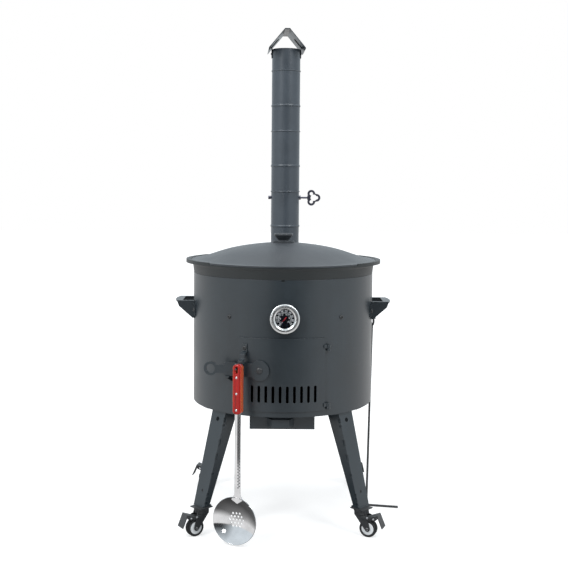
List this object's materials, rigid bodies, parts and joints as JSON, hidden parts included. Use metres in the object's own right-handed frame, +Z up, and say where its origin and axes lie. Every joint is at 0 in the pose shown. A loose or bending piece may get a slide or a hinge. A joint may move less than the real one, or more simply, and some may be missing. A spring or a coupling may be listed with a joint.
{
  "type": "cauldron stove",
  "caption": "Wood-fired stove drum on wheeled legs with a lidded cauldron, door with latch, ash drawer, side handles, thermometer and a tall chimney.",
  "frame": {"origin": "on the floor, on the drum's axis", "axes": "+Z up, the door faces -Y, +X to the right seen from the front"},
  "size_m": [0.6026, 0.6736, 1.3222],
  "materials": {
    "anthracite_paint": "satin heat-proof paint",
    "cast_iron": "seasoned",
    "zinc_steel": "zinc plated",
    "dark_steel": "dark, brushed",
    "polished_steel": "polished",
    "brushed_steel": "brushed",
    "red_wood": "stained and varnished",
    "black_dial": "matt",
    "clear_glass": "clear",
    "red_pointer": "gloss",
    "wheel_rubber": "moulded"
  },
  "bodies": {
    "root": {"drum_shell": "anthracite_paint", "drum_floor": "anthracite_paint", "pot_brackets": "anthracite_paint", "bracket_bolts": "dark_steel", "ash_rails": "anthracite_paint", "handle_left": "anthracite_paint", "handle_right": "anthracite_paint", "handle_bolts": "dark_steel", "leg_front_left": "anthracite_paint", "leg_front_right": "anthracite_paint", "leg_rear_left": "anthracite_paint", "leg_rear_right": "anthracite_paint", "leg_bolts": "dark_steel", "latch_catch": "anthracite_paint", "hinge_lugs": "anthracite_paint", "thermometer_case": "brushed_steel", "thermometer_dial": "black_dial", "thermometer_glass": "clear_glass", "thermometer_probe": "zinc_steel", "thermometer_nut": "zinc_steel", "flue_outlet": "anthracite_paint", "poker_peg": "dark_steel", "caster_plates": "dark_steel"},
    "door": {"door_panel": "anthracite_paint", "door_knuckles": "anthracite_paint", "latch_pivot": "dark_steel", "skimmer_hook": "anthracite_paint", "hook_bolt": "dark_steel"},
    "latch": {"latch_lever": "anthracite_paint"},
    "skimmer": {"skimmer_blade": "polished_steel", "skimmer_grip": "red_wood", "skimmer_rivets": "zinc_steel"},
    "ash_drawer": {"ash_tray": "anthracite_paint", "ash_pull": "anthracite_paint"},
    "kazan": {"kazan_bowl": "cast_iron"},
    "lid": {"lid_dome": "cast_iron", "lid_knob": "cast_iron"},
    "chimney": {"chimney_lower": "anthracite_paint", "chimney_damper_pipe": "anthracite_paint", "chimney_middle": "anthracite_paint", "chimney_upper": "anthracite_paint", "cap_straps": "anthracite_paint", "rain_cap": "anthracite_paint"},
    "damper": {"damper_rod": "zinc_steel", "damper_disc": "dark_steel", "damper_key": "zinc_steel"},
    "pointer": {"thermometer_pointer": "red_pointer"},
    "poker": {"poker": "dark_steel"},
    "swivel_front_left": {"caster_fork_front_left": "dark_steel"},
    "wheel_front_left": {"caster_wheel_front_left": "wheel_rubber"},
    "pedal_front_left": {"caster_pedal_front_left": "dark_steel"},
    "swivel_front_right": {"caster_fork_front_right": "dark_steel"},
    "wheel_front_right": {"caster_wheel_front_right": "wheel_rubber"},
    "pedal_front_right": {"caster_pedal_front_right": "dark_steel"},
    "swivel_rear_left": {"caster_fork_rear_left": "dark_steel"},
    "wheel_rear_left": {"caster_wheel_rear_left": "wheel_rubber"},
    "pedal_rear_left": {"caster_pedal_rear_left": "dark_steel"},
    "swivel_rear_right": {"caster_fork_rear_right": "dark_steel"},
    "wheel_rear_right": {"caster_wheel_rear_right": "wheel_rubber"},
    "pedal_rear_right": {"caster_pedal_rear_right": "dark_steel"}
  },
  "joints": [
    {"name": "door_hinge", "type": "hinge", "parent": "root", "child": "door", "pos_m": [0.11432, -0.215, 0.40675], "axis": [0, 0, 1], "range_deg": [0, 110]},
    {"name": "latch_pivot", "type": "hinge", "parent": "door", "child": "latch", "pos_m": [-0.05629, -0.23536, 0.4216], "axis": [0.2326, 0.9726, 0], "range_deg": [0, 20]},
    {"name": "skimmer_lift_off", "type": "slide", "parent": "door", "child": "skimmer", "axis": [-0.3843, -0.9232, 0], "range_m": [0, 0.05]},
    {"name": "ash_drawer_slide", "type": "slide", "parent": "root", "child": "ash_drawer", "axis": [0, -1, 0], "range_m": [0, 0.2]},
    {"name": "kazan_lift", "type": "slide", "parent": "root", "child": "kazan", "axis": [0, 0, 1], "range_m": [0, 0.25]},
    {"name": "lid_lift", "type": "slide", "parent": "kazan", "child": "lid", "axis": [0, 0, 1], "range_m": [0, 0.2]},
    {"name": "chimney_lift", "type": "slide", "parent": "root", "child": "chimney", "axis": [0, 0, 1], "range_m": [0, 0.05]},
    {"name": "damper_turn", "type": "hinge", "parent": "chimney", "child": "damper", "pos_m": [0.004, 0.297, 0.836], "axis": [1, 0, 0], "range_deg": [0, 90]},
    {"name": "pointer_turn", "type": "hinge", "parent": "root", "child": "pointer", "pos_m": [0.00456, -0.23776, 0.5508], "axis": [-0.0192, 0.9998, 0], "range_deg": [0, 270]},
    {"name": "poker_lift_off", "type": "slide", "parent": "root", "child": "poker", "axis": [0.9694, 0.2453, 0], "range_m": [0, 0.04]},
    {"name": "swivel_front_left", "type": "hinge", "parent": "root", "child": "swivel_front_left", "pos_m": [-0.20011, -0.20011, 0.065], "axis": [0, 0, 1], "continuous": true},
    {"name": "wheel_front_left", "type": "hinge", "parent": "swivel_front_left", "child": "wheel_front_left", "pos_m": [-0.21622, -0.21018, 0.022], "axis": [0.5299, -0.848, 0], "continuous": true},
    {"name": "pedal_front_left", "type": "hinge", "parent": "swivel_front_left", "child": "pedal_front_left", "pos_m": [-0.2069, -0.20435, 0.051], "axis": [0.5299, -0.848, 0], "range_deg": [0, 8]},
    {"name": "swivel_front_right", "type": "hinge", "parent": "root", "child": "swivel_front_right", "pos_m": [0.20011, -0.20011, 0.065], "axis": [0, 0, 1], "continuous": true},
    {"name": "wheel_front_right", "type": "hinge", "parent": "swivel_front_right", "child": "wheel_front_right", "pos_m": [0.21776, -0.20714, 0.022], "axis": [0.3697, 0.9291, 0], "continuous": true},
    {"name": "pedal_front_right", "type": "hinge", "parent": "swivel_front_right", "child": "pedal_front_right", "pos_m": [0.20754, -0.20307, 0.051], "axis": [0.3697, 0.9291, 0], "range_deg": [0, 8]},
    {"name": "swivel_rear_left", "type": "hinge", "parent": "root", "child": "swivel_rear_left", "pos_m": [-0.20011, 0.20011, 0.065], "axis": [0, 0, 1], "continuous": true},
    {"name": "wheel_rear_left", "type": "hinge", "parent": "swivel_rear_left", "child": "wheel_rear_left", "pos_m": [-0.21882, 0.20341, 0.022], "axis": [-0.1736, -0.9848, 0], "continuous": true},
    {"name": "pedal_rear_left", "type": "hinge", "parent": "swivel_rear_left", "child": "pedal_rear_left", "pos_m": [-0.20799, 0.2015, 0.051], "axis": [-0.1736, -0.9848, 0], "range_deg": [0, 8]},
    {"name": "swivel_rear_right", "type": "hinge", "parent": "root", "child": "swivel_rear_right", "pos_m": [0.20011, 0.20011, 0.065], "axis": [0, 0, 1], "continuous": true},
    {"name": "wheel_rear_right", "type": "hinge", "parent": "swivel_rear_right", "child": "wheel_rear_right", "pos_m": [0.21074, 0.21586, 0.022], "axis": [-0.829, 0.5592, 0], "continuous": true},
    {"name": "pedal_rear_right", "type": "hinge", "parent": "swivel_rear_right", "child": "pedal_rear_right", "pos_m": [0.20458, 0.20674, 0.051], "axis": [-0.829, 0.5592, 0], "range_deg": [0, 8]}
  ]
}
